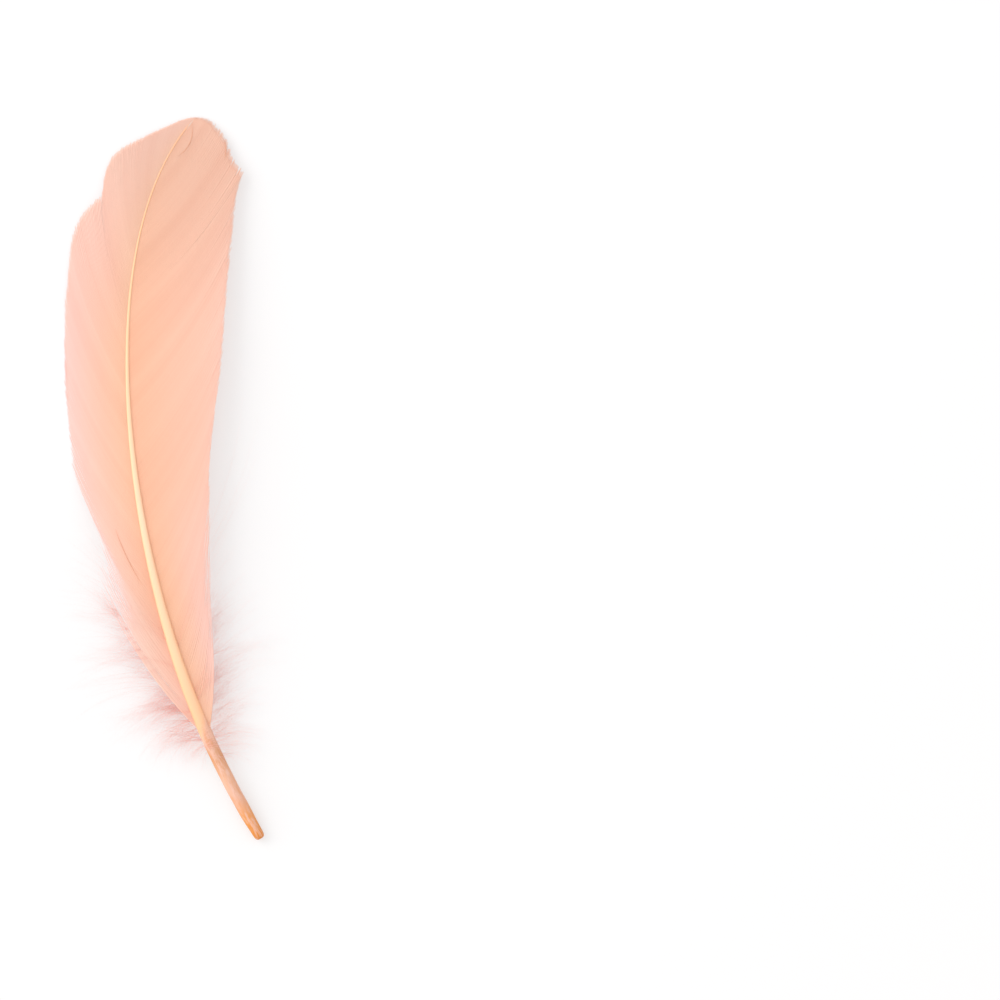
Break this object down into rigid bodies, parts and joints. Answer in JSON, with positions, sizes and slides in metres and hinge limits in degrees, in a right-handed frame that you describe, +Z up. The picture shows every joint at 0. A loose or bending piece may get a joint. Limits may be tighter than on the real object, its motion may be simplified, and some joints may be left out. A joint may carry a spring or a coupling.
{
  "type": "goose quill feather",
  "caption": "Goose wing feather lying flat, upper side up: a bare tapering quill and curved shaft, a narrow and a wide vane, and loose down at the base.",
  "frame": {"origin": "bottom centre of the feather's box, on the surface that it lies on", "axes": "+Y from the quill's end towards the feather's tip, +X from the narrow vane towards the wide vane, +Z up, out of the feather's upper side"},
  "size_m": [0.0458, 0.17, 0.0078],
  "materials": {
    "horn": "glossy, slightly clear, amber at the quill and pale yellow above it",
    "dyed_web": "soft, finely ribbed, lets light through",
    "dyed_down": "loose fine fluff"
  },
  "bodies": {
    "root": {"shaft": "horn", "narrow_vane": "dyed_web", "wide_vane": "dyed_web", "narrow_side_down": "dyed_down", "wide_side_down": "dyed_down"}
  },
  "joints": []
}
